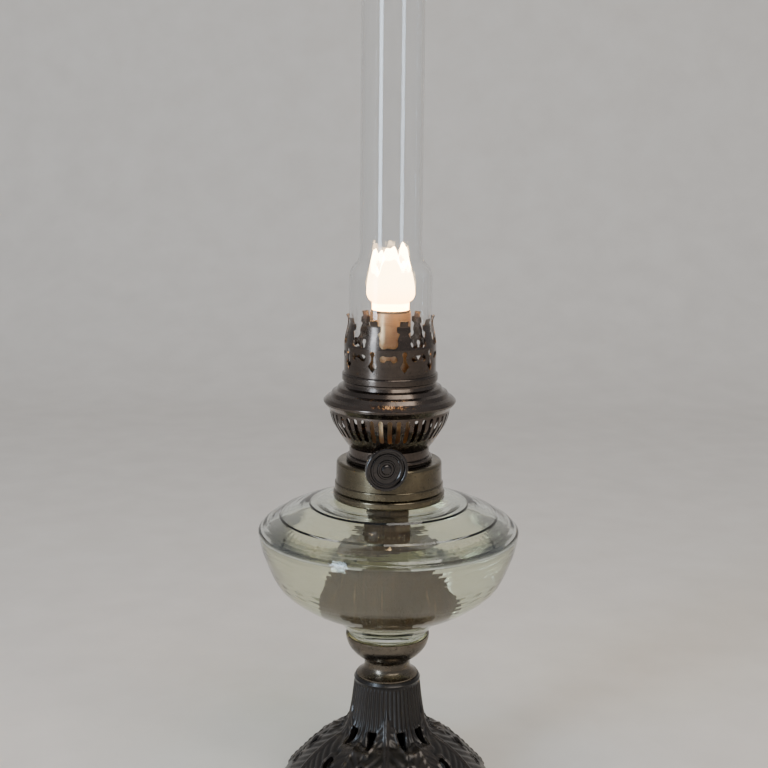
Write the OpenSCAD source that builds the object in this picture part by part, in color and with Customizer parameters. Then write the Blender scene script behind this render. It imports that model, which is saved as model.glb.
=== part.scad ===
// Oil table lamp with a round-wick burner, glass font and pierced cast base.
// The origin is the centre of the base's underside, +Z is up and the wick knob faces -Y.

/* [Base casting] */
// Diameter of the foot on the table
base_d = 150; // [140:1:170]
// Height of the casting
base_h = 86; // [80:1:96]
// Diameter of the flat top that carries the stem cup
base_top_d = 42; // [41:0.5:46]
// Diameter of the trunk where the leaves begin to spread
trunk_d = 51; // [48:1:56]
// Height at which the trunk has that diameter
trunk_z = 58.5; // [56:0.5:62]
// Diameter half way down the leafy skirt
skirt_d = 120; // [114:1:126]
// Height at which the skirt has that diameter
skirt_z = 22.5; // [20:0.5:25]
// Thickness of the cast wall
base_wall = 3; // [2.5:0.1:3.5]
// Thickness of the plate under the stem cup
base_plate_t = 5; // [4:0.5:7]
// Number of large leaves round the casting
leaf_count = 5; // [4:1:6]
// Half angle that a large leaf takes up
leaf_half_angle = 21; // [19:0.5:23]
// Width of the window between two leaves
window_w = 6; // [4.5:0.25:7]
// Height of the top of the windows
window_top_z = 55; // [53:0.5:57]
// Height of the pointed lower end of the windows
window_tip_z = 42; // [40:0.5:44]
// Width of the pierced openings in the skirt
skirt_hole_w = 6.5; // [5:0.25:8]
// How far the midrib of a leaf stands out of the wall
midrib_t = 1.2; // [0.8:0.1:1.8]
// Angle that the foot is turned against the wick knob
base_turn = 17.5; // [0:0.5:30]

/* [Stem cup] */
// Height of the cup that joins the font to the base
cup_h = 28.5; // [27:0.5:31]
// Diameter of the cup at its rim
cup_rim_d = 55; // [53:0.5:58]
// Diameter of the waist above the foot of the cup
cup_waist_d = 30.2; // [28:0.2:32]
// Diameter of the foot of the cup
cup_foot_d = 40.4; // [38:0.2:41]
// Thickness of the spun brass
cup_wall = 1.2; // [1:0.1:1.6]
// Diameter of the threaded rod that ties the cup to the base
rod_d = 8; // [6:0.5:9]
// Width across the flats of the rod's nuts
nut_af = 13; // [12:0.5:14]
// Thickness of the rod's nuts
nut_t = 5.5; // [4.5:0.1:6]

/* [Glass font] */
// Largest diameter of the glass
font_d = 169.4; // [160:0.5:178]
// Height of that diameter above the rim of the cup
belly_h = 71; // [66:1:74]
// Height from the rim of the cup to the underside of the brass collar
font_body_h = 93; // [92:0.5:96]
// Thickness of the glass
font_wall = 4.2; // [3.5:0.1:5]
// Height of the moulded steps on the shoulder
step_h = 1.2; // [0.8:0.1:1.6]
// Bore of the glass neck
neck_bore_d = 43; // [42:0.5:44]
// Outer diameter of the glass neck
neck_d = 55; // [53:0.5:57]
// Diameter of the glass peg that is cemented into the cup
peg_d = 44; // [42:0.5:46]

/* [Font collar] */
// Height of the brass collar
collar_h = 25; // [23:0.5:28]
// Diameter of the collar's wall
collar_d = 68; // [66:0.5:70]
// Diameter of the two rolled beads at its foot
collar_bead_d = 72.2; // [71.5:0.2:74]
// Thickness of the collar's brass
collar_wall = 0.8; // [0.6:0.1:1]
// Diameter of the thread that the burner screws into
thread_d = 38.6; // [38:0.1:39.5]
// Length of that thread
thread_h = 10; // [8:0.5:12]

/* [Burner] */
// Thickness of the burner's sheet brass
sheet_t = 0.6; // [0.5:0.05:0.8]
// Diameter of the neck above the collar
burner_neck_d = 51.6; // [50:0.2:53]
// Height of that neck
burner_neck_h = 9; // [9:0.2:11]
// Diameter of the bead that rests on the collar
neck_bead_d = 55.4; // [54.6:0.2:57]
// Height of the slotted air basket
basket_h = 25; // [23:0.5:28]
// Diameter of the top of the basket
basket_d = 77.2; // [75:0.2:79]
// Number of air slots
slot_count = 42; // [36:1:46]
// Width of an air slot
slot_w = 2.8; // [2:0.1:3]
// Length of an air slot, measured upright
slot_h = 15.5; // [13:0.5:16]
// Diameter of the rolled edge of the gallery plate
gallery_d = 85; // [83:0.5:88]
// Height of the gallery plate
gallery_h = 23.4; // [22.4:0.2:25]
// Height of the pierced crown
crown_h = 36; // [34:0.5:38]
// Diameter of the crown's band
crown_d = 58.8; // [58.2:0.2:60]
// Number of sprung fingers
finger_count = 9; // [8:1:9]
// Width of the neck of a finger
finger_w = 5.6; // [5:0.1:6]
// Angle that the crown is turned against the wick knob
crown_turn = 19.5; // [0:0.5:40]

/* [Wick gear] */
// Inner diameter of the wick tube
wick_tube_d = 25.2; // [25:0.1:25.6]
// Height of the wick tube above the collar
wick_tube_h = 96; // [92:1:100]
// Outer diameter of the inner draught tube
draught_tube_d = 20; // [19:0.1:20.2]
// Wall of the two tubes
tube_wall = 0.4; // [0.3:0.05:0.5]
// Width of the side inlet of the draught tube
inlet_w = 9; // [8:0.5:10]
// Height of that inlet
inlet_h = 12; // [10:0.5:13]
// Distance of the spindle from the centre line
spindle_offset = 16.8; // [16.6:0.1:17]
// Diameter of the spindle
spindle_d = 3; // [2.6:0.1:3.2]
// Diameter of the sleeve that guides the spindle
sleeve_d = 5.6; // [5:0.1:5.8]
// Number of toothed wheels on the spindle
wheel_count = 3; // [2:1:3]
// Number of teeth on a wheel
tooth_count = 10; // [8:1:12]
// Distance from the centre line to the face of the knob
knob_reach = 50; // [48:0.5:54]
// Diameter of the knob
knob_d = 27; // [24:0.5:29]
// Thickness of the knob
knob_t = 4.6; // [4:0.1:5.2]
// Length of wick that shows above its tube
wick_show = 1.5; // [1:0.1:3]
// Height of the wick's lower end above the rim of the cup
wick_end_h = 24; // [22:0.5:40]
// Width of the wick at its frayed lower end
wick_spread = 76; // [66:1:80]

/* [Chimney] */
// Height of the glass chimney
chimney_h = 256; // [230:1:270]
// Outer diameter of its foot
chimney_foot_d = 52.5; // [52:0.1:53]
// Outer diameter of its tube
chimney_tube_d = 39; // [38:0.5:41]
// Thickness of its glass
chimney_wall = 1.4; // [1.2:0.1:1.8]
// Height of the foot below the shoulder
chimney_foot_h = 60; // [56:1:64]
// Height of the rounded shoulder
shoulder_h = 15; // [13:0.5:18]

/* [Hidden] */
$fn = 96;

// Clearance between curved faces that move past each other
run_gap = 0.3;
// Radial clearance of the spindle in its bearings
bearing_gap = 0.05;
// Clearance of the threaded rod in the plates that it ties together
rod_gap = 0.3;
// Gap under a glass piece that stands on metal
seat_gap = 0.2;
// Overlap that keeps a cut clear of the face it starts from
cut_over = 1;
// Steps of a curve between two of its stations
curve_steps = 5;

// Levels, from the table up
base_top_z = base_h;
cup_rim_z = base_top_z + cup_h;
belly_z = cup_rim_z + belly_h;
collar_z = cup_rim_z + font_body_h;
collar_top_z = collar_z + collar_h;
neck_top_z = collar_top_z + burner_neck_h;
basket_top_z = neck_top_z + basket_h;
gallery_top_z = basket_top_z + gallery_h;
chimney_z = gallery_top_z + seat_gap;
wick_tube_top_z = collar_top_z + wick_tube_h;

// Depth of the thread's root and the plain cylinder that stands for the burner's own thread
ring_r = thread_d / 2 - run_gap;
ring_wall = 0.8;
ring_flange_t = 0.6;
neck_floor_z = collar_top_z + ring_flange_t;

// The toothed wheels just reach the wick, and turn just above the floor of the burner's neck
wheel_r = spindle_offset - wick_tube_d / 2;
wheel_t = 1.2;
wheel_pitch = 4.5;
spindle_level = neck_floor_z + sheet_t + wheel_r + run_gap;

// Point of a Catmull-Rom curve between b and c
function curve_point(a, b, c, d, t) =
    0.5 * (2 * b + (c - a) * t + (2 * a - 5 * b + 4 * c - d) * t * t + (3 * b - a - 3 * c + d) * t * t * t);

// Smooth line through the stations p, with n steps between each pair
function smooth(p, n = curve_steps) = concat(
    [for (i = [0 : len(p) - 2]) for (k = [0 : n - 1])
        curve_point(p[max(i - 1, 0)], p[i], p[i + 1], p[min(i + 2, len(p) - 1)], k / n)],
    [p[len(p) - 1]]
);

// Unit vector square to the line at station i, to the left of its direction
function side_vector(p, i) =
    let (d = p[min(i + 1, len(p) - 1)] - p[max(i - 1, 0)])
    [-d[1], d[0]] / norm(d);

// The line p moved sideways by w
function moved(p, w) = [for (i = [0 : len(p) - 1]) p[i] + w * side_vector(p, i)];

function reversed(p) = [for (i = [len(p) - 1 : -1 : 0]) p[i]];

// Points of an arc about c, from angle a to angle b
function arc(c, r, a, b, n = 8) = [for (i = [0 : n]) c + r * [cos(a + (b - a) * i / n), sin(a + (b - a) * i / n)]];

// Sheet of thickness w turned about the Z axis, to the left of the line p
module turned_sheet(p, w) {
    rotate_extrude() polygon(concat(p, reversed(moved(p, w))));
}

module tube(r_out, r_in, z0, z1) {
    translate([0, 0, z0]) difference() {
        cylinder(r = r_out, h = z1 - z0);
        translate([0, 0, -cut_over]) cylinder(r = r_in, h = z1 - z0 + 2 * cut_over);
    }
}

// Flat outline pushed out radially from the centre line, with its own +Y up
module radial_cut(angle, r0, r1) {
    rotate([0, 0, angle]) translate([0, -r0, 0]) rotate([90, 0, 0]) linear_extrude(r1 - r0) children();
}

module hex_nut(z0) {
    translate([0, 0, z0]) difference() {
        cylinder(d = nut_af / cos(30), h = nut_t, $fn = 6);
        translate([0, 0, -cut_over]) cylinder(d = rod_d, h = nut_t + 2 * cut_over);
    }
}

// Base casting: a thin pierced bell with a reeded trunk

foot_rim_h = 4;
foot_rim_t = 5;
top_bead_h = 3;
base_outer = smooth([
    [base_top_d / 2, base_top_z],
    [base_top_d / 2 + 0.4, base_top_z - top_bead_h],
    [(base_top_d + trunk_d) / 4 - 0.6, (base_top_z + trunk_z) / 2 + 1],
    [trunk_d / 2, trunk_z],
    [trunk_d / 2 + 4.8, trunk_z - 11.5],
    [skirt_d / 2 - 19, skirt_z + 15.5],
    [skirt_d / 2, skirt_z],
    [(skirt_d + base_d) / 4 + 3.6, skirt_z * 0.35],
    [base_d / 2, foot_rim_h]
]);
base_inner = moved(base_outer, -base_wall);
hollow_top_z = base_top_z - base_plate_t;
hollow_r = (base_top_d - base_wall * 2) / 2;
leaf_pitch = 360 / leaf_count;
small_half_angle = leaf_pitch / 2 - leaf_half_angle;

// Angles at which two leaves meet
window_angles = [for (k = [0 : leaf_count - 1]) for (s = [-1, 1]) k * leaf_pitch + s * leaf_half_angle];
// Angles of the pierced openings on both sides of each midrib
skirt_hole_angles = [
    for (k = [0 : leaf_count - 1]) for (s = [-1, 1])
        for (a = [leaf_half_angle * 0.55, leaf_pitch / 2 - small_half_angle * 0.55]) k * leaf_pitch + s * a
];
midrib_angles = [for (k = [0 : leaf_count - 1]) for (a = [0, leaf_pitch / 2]) k * leaf_pitch + a];

// Window between two leaves: a round head and a pointed foot
module window_outline() {
    head_z = window_top_z - window_w / 2;
    translate([0, head_z]) circle(d = window_w);
    polygon([[-window_w / 2, head_z], [0, window_tip_z], [window_w / 2, head_z]]);
}

// Opening in the skirt, seen from above: a drop that points outwards
module skirt_hole_outline() {
    hole_r = skirt_d / 2 - 12;
    translate([0, -hole_r]) circle(d = skirt_hole_w);
    polygon([[-skirt_hole_w / 2, -hole_r], [skirt_hole_w / 2, -hole_r], [0, -hole_r - skirt_hole_w * 1.6]]);
}

module base_shell() {
    rotate_extrude() polygon(concat(
        base_outer,
        [[base_d / 2, 0], [base_d / 2 - foot_rim_t, 0], [base_d / 2 - foot_rim_t, foot_rim_h]],
        reversed([for (p = base_inner) if (p[1] < hollow_top_z - 0.5 && p[1] > foot_rim_h + 0.5) p]),
        [[hollow_r, hollow_top_z], [0, hollow_top_z], [0, base_top_z]]
    ));
}

// Midrib of a leaf: a narrow wedge that follows the wall
module midrib(angle) {
    rib_angle = 3.2;
    line = [for (p = base_outer) if (p[1] > skirt_z * 0.6 && p[1] < base_top_z - top_bead_h) p];
    rotate([0, 0, angle - 90 - rib_angle / 2]) rotate_extrude(angle = rib_angle)
        polygon(concat(moved(line, midrib_t), reversed(moved(line, -base_wall / 2))));
}

module base_casting() {
    color("#2b2320") rotate([0, 0, -base_turn]) difference() {
        union() {
            base_shell();
            for (a = midrib_angles) midrib(a);
        }
        for (a = window_angles) radial_cut(a, trunk_d / 4, skirt_d / 2) window_outline();
        for (a = skirt_hole_angles) rotate([0, 0, a]) translate([0, 0, foot_rim_h + cut_over])
            linear_extrude(trunk_z) skirt_hole_outline();
        translate([0, 0, hollow_top_z - cut_over]) cylinder(r = rod_d / 2 + rod_gap, h = base_plate_t + 2 * cut_over);
    }
}

washer_t = 1.6;
washer_d = 22;
module base_washer() {
    color("#8d8a84") tube(washer_d / 2, rod_d / 2 + rod_gap, hollow_top_z - washer_t, hollow_top_z);
}

module base_nut() {
    color("#8d8a84") hex_nut(hollow_top_z - washer_t - nut_t);
}

// Stem cup: spun brass, a shallow bowl on a waisted foot
cup_floor_z = base_top_z + cup_h * 0.42;
cup_flare = (cup_rim_d - cup_waist_d) / 2;
cup_spread = (cup_foot_d - cup_waist_d) / 2;
cup_foot_t = 1.2;
cup_line = smooth([
    [cup_rim_d / 2, cup_rim_z],
    [cup_rim_d / 2 - cup_flare * 0.02, cup_rim_z - cup_h * 0.1],
    [cup_rim_d / 2 - cup_flare * 0.18, cup_rim_z - cup_h * 0.28],
    [cup_rim_d / 2 - cup_flare * 0.53, cup_rim_z - cup_h * 0.46],
    [cup_waist_d / 2 + cup_flare * 0.1, cup_floor_z],
    [cup_waist_d / 2, base_top_z + cup_h * 0.295],
    [cup_waist_d / 2 + cup_spread * 0.12, base_top_z + cup_h * 0.175],
    [cup_foot_d / 2 - cup_spread * 0.4, base_top_z + cup_h * 0.084],
    [cup_foot_d / 2, base_top_z + cup_foot_t]
]);
cup_floor_t = 1.5;
cup_inner = moved(cup_line, -cup_wall);

module stem_cup() {
    color("#8b8577") rotate_extrude() {
        polygon(concat(cup_line, [[cup_foot_d / 2, base_top_z], [cup_foot_d / 2 - cup_wall, base_top_z]],
            reversed(cup_inner)));
        intersection() {
            polygon(concat(cup_line, [[0, base_top_z + cup_foot_t], [0, cup_rim_z]]));
            translate([rod_d / 2 + rod_gap, cup_floor_z]) square([cup_rim_d / 2, cup_floor_t]);
        }
    }
}

cup_nut_z = cup_floor_z + cup_floor_t;
module cup_nut() {
    color("#8d8a84") hex_nut(cup_nut_z);
}

rod_top_z = cup_nut_z + nut_t + 0.5;
module tie_rod() {
    rod_end_z = hollow_top_z - washer_t - nut_t - 4;
    color("#9a968e") translate([0, 0, rod_end_z]) cylinder(d = rod_d, h = rod_top_z - rod_end_z);
}

// Glass font: a thick blown bowl with terraced shoulder and a peg below
peg_z = rod_top_z + 1;
shoulder_1_r = font_d / 2 * 0.6;
shoulder_2_r = font_d / 2 * 0.83;
font_upper = concat(
    smooth([[neck_d / 2, collar_z + 2], [neck_d / 2 + 5, collar_z], [neck_d / 2 + 14, collar_z - 0.9],
        [shoulder_1_r, collar_z - 3.2]]),
    smooth([[shoulder_1_r + 0.9, collar_z - 3.2 - step_h], [(shoulder_1_r + shoulder_2_r) / 2, collar_z - 6.6],
        [shoulder_2_r, collar_z - 10.6]]),
    smooth([[shoulder_2_r + 0.9, collar_z - 10.6 - step_h], [font_d / 2 - 5, belly_z + 5.8],
        [font_d / 2 - 1.6, belly_z + 2.6], [font_d / 2, belly_z], [font_d / 2 - 0.9, belly_z - 6]])
);
// Radius of the glass just above the rim of the cup
glass_foot_r = cup_rim_d / 2 - 1.9;
font_lower = smooth([
    [font_d / 2 - 0.9, belly_z - 6],
    [font_d / 2 - 3.9, belly_z - 16.5],
    [font_d / 2 - 12.8, belly_z - 35],
    [font_d / 2 - 28.8, cup_rim_z + 23],
    [glass_foot_r + 11.4, cup_rim_z + 13.4],
    [glass_foot_r + 5, cup_rim_z + 8],
    [glass_foot_r + 1.6, cup_rim_z + 3.6],
    [glass_foot_r, cup_rim_z + 0.8],
    [peg_d / 2, cup_rim_z - 1.5]
]);
font_floor_z = cup_rim_z + 16;
cavity = smooth([
    [neck_bore_d / 2, collar_z + 1],
    [neck_bore_d / 2 + 4, collar_z - 4.4],
    [shoulder_1_r, collar_z - 3.2 - step_h - font_wall],
    [shoulder_2_r, collar_z - 10.6 - step_h - font_wall],
    [font_d / 2 - font_wall - 0.6, belly_z - 2],
    [font_d / 2 - font_wall - 4.2, belly_z - 18],
    [font_d / 2 - font_wall - 14, belly_z - 36],
    [font_d / 2 - font_wall - 33, font_floor_z + 4.6],
    [font_d / 2 - font_wall - 54, font_floor_z + 0.6]
]);
neck_rim_z = collar_top_z - 2.5;

module glass_font() {
    color([0.72, 0.76, 0.68, 0.45]) rotate_extrude() polygon(concat(
        [[0, peg_z], [0, font_floor_z]],
        reversed(cavity),
        [[neck_bore_d / 2, neck_rim_z], [neck_d / 2, neck_rim_z]],
        font_upper,
        [for (i = [1 : len(font_lower) - 1]) font_lower[i]],
        [[peg_d / 2, peg_z]]
    ));
}

// Cement that fills the cup round the peg
module peg_cement() {
    fill = [for (p = cup_inner) if (p[1] > rod_top_z + 0.5 && p[1] < cup_rim_z - 2) p];
    top = fill[0];
    low = fill[len(fill) - 1];
    color("#b8ad98") rotate_extrude() polygon(concat(
        [[peg_d / 2, top[1]]], fill, [[0, low[1]], [0, peg_z], [peg_d / 2, peg_z]]
    ));
}

// Brass collar on the glass neck, with the burner's female thread
collar_r = collar_d / 2;
bead_r = collar_bead_d / 2;
bead_h = 5;
bead_line = concat(
    arc([bead_r - 1.2, collar_z + 1.2], 1.2, -90, 0, 4),
    arc([bead_r - 1.2, collar_z + bead_h - 1.2], 1.2, 0, 90, 4),
    arc([bead_r - 1.8, collar_z + bead_h + 1.2], 0.8, -90, 0, 4),
    arc([bead_r - 1.8, collar_z + 2 * bead_h], 0.8, 0, 90, 4)
);
collar_line = concat(
    bead_line,
    arc([collar_r - 2, collar_top_z - 2], 2, 0, 90, 6)
);

module font_collar() {
    wall_r = collar_r - collar_wall;
    color("#837a55") rotate_extrude() polygon(concat(
        collar_line,
        [
            [thread_d / 2, collar_top_z],
            [thread_d / 2, collar_top_z - thread_h],
            [thread_d / 2 + collar_wall, collar_top_z - thread_h],
            [thread_d / 2 + collar_wall, collar_top_z - collar_wall],
            [wall_r - 2, collar_top_z - collar_wall],
            [wall_r, collar_top_z - 2 - collar_wall],
            [wall_r, collar_z]
        ]
    ));
}

module collar_cement() {
    wall_r = collar_r - collar_wall;
    color("#b8ad98") tube(wall_r, neck_d / 2, collar_z + 2.4, neck_rim_z);
}

// Burner's thread ring, with the flange that seats on the collar
module burner_thread_ring() {
    color("#6b6048") rotate_extrude() polygon([
        [ring_r - ring_wall, collar_top_z - thread_h + cut_over],
        [ring_r, collar_top_z - thread_h + cut_over],
        [ring_r, collar_top_z],
        [neck_bead_d / 2 - 1.5, collar_top_z],
        [neck_bead_d / 2 - 1.5, neck_floor_z],
        [ring_r - ring_wall, neck_floor_z]
    ]);
}

// Neck of the burner: floor, bead and plain wall
neck_r = burner_neck_d / 2;
tube_r = wick_tube_d / 2 + tube_wall;
neck_bead_r = neck_bead_d / 2;
neck_bead_h = 2.8;

module burner_neck() {
    color("#4e4334") difference() {
        rotate_extrude() polygon(concat(
            [[tube_r, neck_floor_z]],
            arc([neck_bead_r - 1, neck_floor_z + 1], 1, -90, 0, 4),
            arc([neck_bead_r - 1, neck_floor_z + neck_bead_h - 1], 1, 0, 90, 4),
            [
                [neck_r, neck_floor_z + neck_bead_h],
                [neck_r, neck_top_z],
                [neck_r - sheet_t, neck_top_z],
                [neck_r - sheet_t, neck_floor_z + sheet_t],
                [tube_r, neck_floor_z + sheet_t]
            ]
        ));
        translate([-spindle_offset, 0, spindle_level]) rotate([90, 0, 0]) cylinder(d = sleeve_d, h = neck_bead_d);
    }
}

// Air basket: a bowl of sheet with a row of upright slots
basket_r = basket_d / 2;
basket_line = smooth([
    [neck_r, neck_top_z],
    [neck_r + 3.4, neck_top_z + basket_h * 0.18],
    [basket_r - 5.6, neck_top_z + basket_h * 0.42],
    [basket_r - 2.1, neck_top_z + basket_h * 0.66],
    [basket_r - 0.3, neck_top_z + basket_h * 0.88],
    [basket_r, basket_top_z]
]);
slot_z = basket_top_z - 1.2 - slot_h;

module slot_outline() {
    translate([-slot_w / 2, slot_z + slot_w / 2]) square([slot_w, slot_h - slot_w]);
    translate([0, slot_z + slot_w / 2]) circle(d = slot_w);
    translate([0, slot_z + slot_h - slot_w / 2]) circle(d = slot_w);
}

module air_basket() {
    color("#4e4334") difference() {
        turned_sheet(basket_line, sheet_t);
        for (k = [0 : slot_count - 1]) radial_cut(k * 360 / slot_count, neck_r - 4, basket_r + 4) slot_outline();
    }
}

// Gallery plate: a stepped dome with a rolled edge, a bead and the chimney's ledge
gallery_r = gallery_d / 2;
ledge_r = crown_d / 2;
ledge_bead_r = 1.2;
gallery_line = concat(
    [[basket_r, basket_top_z], [gallery_r - 0.5, basket_top_z + 3.8]],
    arc([gallery_r - 1, basket_top_z + 5], 1, -60, 60, 4),
    [
        [gallery_r - 1.8, basket_top_z + 7.2],
        [gallery_r - 4.2, basket_top_z + 8.6],
        [gallery_r - 5.6, basket_top_z + 11],
        [gallery_r - 8, basket_top_z + 12.1],
        [ledge_r + 3.6, basket_top_z + 14.4],
        [ledge_r + 1.2, basket_top_z + 15.4],
        [ledge_r + 0.5, gallery_top_z - 6.2]
    ],
    arc([ledge_r + 0.1, gallery_top_z - 4], ledge_bead_r, -70, 0, 4),
    arc([ledge_r + 0.1, gallery_top_z - ledge_bead_r], ledge_bead_r, 0, 90, 4)
);
ledge_w = 6.4;

module gallery_plate() {
    inner = [for (p = reversed(moved(gallery_line, sheet_t))) if (p[1] < gallery_top_z - ledge_bead_r) p];
    color("#54483a") rotate_extrude() polygon(concat(
        gallery_line,
        [[ledge_r - ledge_w, gallery_top_z], [ledge_r - ledge_w, gallery_top_z - sheet_t],
            [ledge_r - sheet_t, gallery_top_z - sheet_t]],
        inner
    ));
}

// Crown: a band of thin sheet with sprung fingers, pierced between and below them
crown_r = crown_d / 2;
crown_t = 0.5;
grip_r = chimney_foot_d / 2 + run_gap + crown_t;
crown_top_z = gallery_top_z + crown_h;
crown_line = concat(
    [[crown_r, gallery_top_z], [crown_r, gallery_top_z + crown_h / 2]],
    smooth([
        [crown_r - 0.1, gallery_top_z + crown_h / 2 + 1],
        [crown_r - 0.9, crown_top_z - 11.5],
        [grip_r, crown_top_z - 5],
        [grip_r + 0.3, crown_top_z - 2.2],
        [grip_r + 1.3, crown_top_z]
    ], 4)
);
finger_pitch = 360 / finger_count;
arch_z = gallery_top_z + crown_h * 0.53;

// Gap between two fingers: a twin-lobed foot, hollow sides and a stepped head
module arch_outline() {
    half_pitch = crown_r * sin(finger_pitch / 2);
    lobe_r = 3;
    side_x = half_pitch - finger_w / 2 - 0.4;
    nub_x = half_pitch - finger_w / 2 - 2.3;
    nub_z = crown_top_z - 6.6;
    for (s = [-1, 1]) translate([s * (lobe_r - 0.1), arch_z + lobe_r]) circle(r = lobe_r);
    translate([0, arch_z + lobe_r + 3.2]) circle(r = lobe_r * 1.9);
    polygon([
        [-side_x, nub_z - 1.2], [-nub_x, nub_z], [-nub_x, nub_z + 3.2], [-side_x, nub_z + 3.6],
        [-side_x - 0.3, crown_top_z + 2], [side_x + 0.3, crown_top_z + 2],
        [side_x, nub_z + 3.6], [nub_x, nub_z + 3.2], [nub_x, nub_z], [side_x, nub_z - 1.2],
        [lobe_r * 1.9, arch_z + lobe_r + 3.2], [-lobe_r * 1.9, arch_z + lobe_r + 3.2]
    ]);
}

// Slot with drooping ends below each arch
module moustache_outline() {
    slot_z0 = arch_z - 6.4;
    for (s = [-1, 1]) translate([s * 3.4, slot_z0]) circle(r = 2.1);
    translate([-4.6, slot_z0 - 0.7]) square([9.2, 2.4]);
}

// Keyhole below each finger: a round eye, a narrow waist and a spade with a pointed foot
module keyhole_outline() {
    eye_z = arch_z - 3.6;
    spade_z = arch_z - 11.4;
    translate([0, eye_z]) circle(r = 1.7);
    translate([-0.9, spade_z]) square([1.8, eye_z - spade_z]);
    polygon([[-3, spade_z], [0, spade_z - 4], [3, spade_z], [0.9, spade_z + 3.4], [-0.9, spade_z + 3.4]]);
}

module chimney_crown() {
    color("#5a4a3a") rotate([0, 0, -crown_turn]) difference() {
        turned_sheet(crown_line, crown_t);
        for (k = [0 : finger_count - 1]) {
            radial_cut(k * finger_pitch, crown_r - 6, crown_r + 4) arch_outline();
            radial_cut(k * finger_pitch, crown_r - 6, crown_r + 4) moustache_outline();
            radial_cut((k + 0.5) * finger_pitch, crown_r - 6, crown_r + 4) keyhole_outline();
        }
    }
}

// Wick tube, with windows for the toothed wheels and for the side inlet
wheel_y = [for (k = [0 : wheel_count - 1]) (k - (wheel_count - 1) / 2) * wheel_pitch];
tube_foot_z = collar_top_z - thread_h + 2;
inlet_z = neck_top_z + 5;

module wick_tube() {
    window_h = wheel_r + 1;
    window_half_w = wheel_t / 2 + 0.4;
    // How far the tube's wall has curved away at the outermost wheel
    wall_depth = tube_r - sqrt(pow(wick_tube_d / 2, 2) - pow(max(wheel_y) + window_half_w, 2));
    color("#6a5a44") difference() {
        tube(tube_r, wick_tube_d / 2, tube_foot_z, wick_tube_top_z);
        for (y = wheel_y) translate([-tube_r - cut_over, y - window_half_w, spindle_level - window_h / 2])
            cube([cut_over + wall_depth + 0.2, 2 * window_half_w, window_h]);
        translate([-inlet_w / 2, draught_tube_d / 2, inlet_z]) cube([inlet_w, tube_r, inlet_h]);
    }
}

// Inner draught tube, with a floor and a square duct through the seam of the wick
draught_r = draught_tube_d / 2;

module draught_tube() {
    duct_end = sqrt(tube_r * tube_r - inlet_w * inlet_w / 4) - tube_wall;
    color("#6a5a44") {
        difference() {
            union() {
                tube(draught_r, draught_r - tube_wall, inlet_z - tube_wall, wick_tube_top_z);
                translate([0, 0, inlet_z - tube_wall]) cylinder(r = draught_r, h = tube_wall);
                translate([-inlet_w / 2, 0, inlet_z - tube_wall])
                    cube([inlet_w, duct_end, inlet_h + 2 * tube_wall]);
            }
            translate([-inlet_w / 2 + tube_wall, 0, inlet_z])
                cube([inlet_w - 2 * tube_wall, duct_end + cut_over, inlet_h]);
            translate([0, 0, inlet_z]) cylinder(r = draught_r - tube_wall, h = inlet_h + 2 * tube_wall);
        }
    }
}

// Spindle line, along -Y from the wheels to the knob
module on_spindle(y) {
    translate([-spindle_offset, -y, spindle_level]) rotate([90, 0, 0]) children();
}

sleeve_start = 15;
sleeve_end = 36;
spindle_bore_r = spindle_d / 2 + bearing_gap;

module spindle_sleeve() {
    color("#6a5a44") on_spindle(sleeve_start) difference() {
        cylinder(d = sleeve_d, h = sleeve_end - sleeve_start);
        translate([0, 0, -cut_over]) cylinder(r = spindle_bore_r, h = sleeve_end - sleeve_start + 2 * cut_over);
    }
}

bracket_y = 8.5;
bracket_t = 1.2;
module spindle_bracket() {
    bracket_z = neck_floor_z + sheet_t;
    bracket_w = 6;
    color("#6a5a44") difference() {
        translate([-spindle_offset - bracket_w / 2, bracket_y, bracket_z])
            cube([bracket_w, bracket_t, spindle_level - bracket_z + 3]);
        on_spindle(-bracket_y - bracket_t - cut_over) cylinder(r = spindle_bore_r, h = bracket_t + 2 * cut_over);
    }
}

spindle_tail = 11;
module spindle() {
    color("#7d7668") on_spindle(-spindle_tail) cylinder(d = spindle_d, h = spindle_tail + knob_reach - knob_t);
}

// Toothed wheels that carry the wick
module wheel_outline() {
    root_r = wheel_r * 0.72;
    polygon([for (k = [0 : tooth_count - 1]) for (s = [[0, wheel_r], [0.42, root_r], [0.58, root_r]])
        s[1] * [cos((k + s[0]) * 360 / tooth_count), sin((k + s[0]) * 360 / tooth_count)]]);
}

module wick_wheels() {
    color("#7d7668") for (y = wheel_y) on_spindle(y - wheel_t / 2) linear_extrude(wheel_t) difference() {
        wheel_outline();
        circle(d = spindle_d);
    }
}

// Wick knob: a dished disc with two rings, a centre boss and a milled edge
knob_r = knob_d / 2;
ring_2_r = knob_r * 0.7;
boss_r = 3.4;
mill_count = 48;

module knob_profile() {
    back_r = 4;
    polygon(concat(
        [[0, 0], [back_r, 0], [back_r, 1], [knob_r - 1, 1]],
        arc([knob_r - 0.8, 1.8], 0.8, -90, 0, 3),
        arc([knob_r - 0.8, knob_t - 0.8], 0.8, 0, 90, 3),
        arc([knob_r - 1.6, knob_t - 0.5], 0.5, 90, 180, 3),
        [[knob_r - 2.3, knob_t - 1.6], [ring_2_r + 1.2, knob_t - 1.6]],
        arc([ring_2_r, knob_t - 1.6], 0.9, 0, 180, 6),
        [[boss_r + 2.8, knob_t - 1.6], [boss_r + 2.4, knob_t - 1.1], [boss_r + 1.6, knob_t - 1.1],
            [boss_r + 1.2, knob_t - 1.6], [boss_r, knob_t - 1.6]],
        arc([boss_r - 1.6, knob_t - 1.7], 1.6, 0, 90, 4),
        [[0, knob_t - 0.1]]
    ));
}

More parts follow.
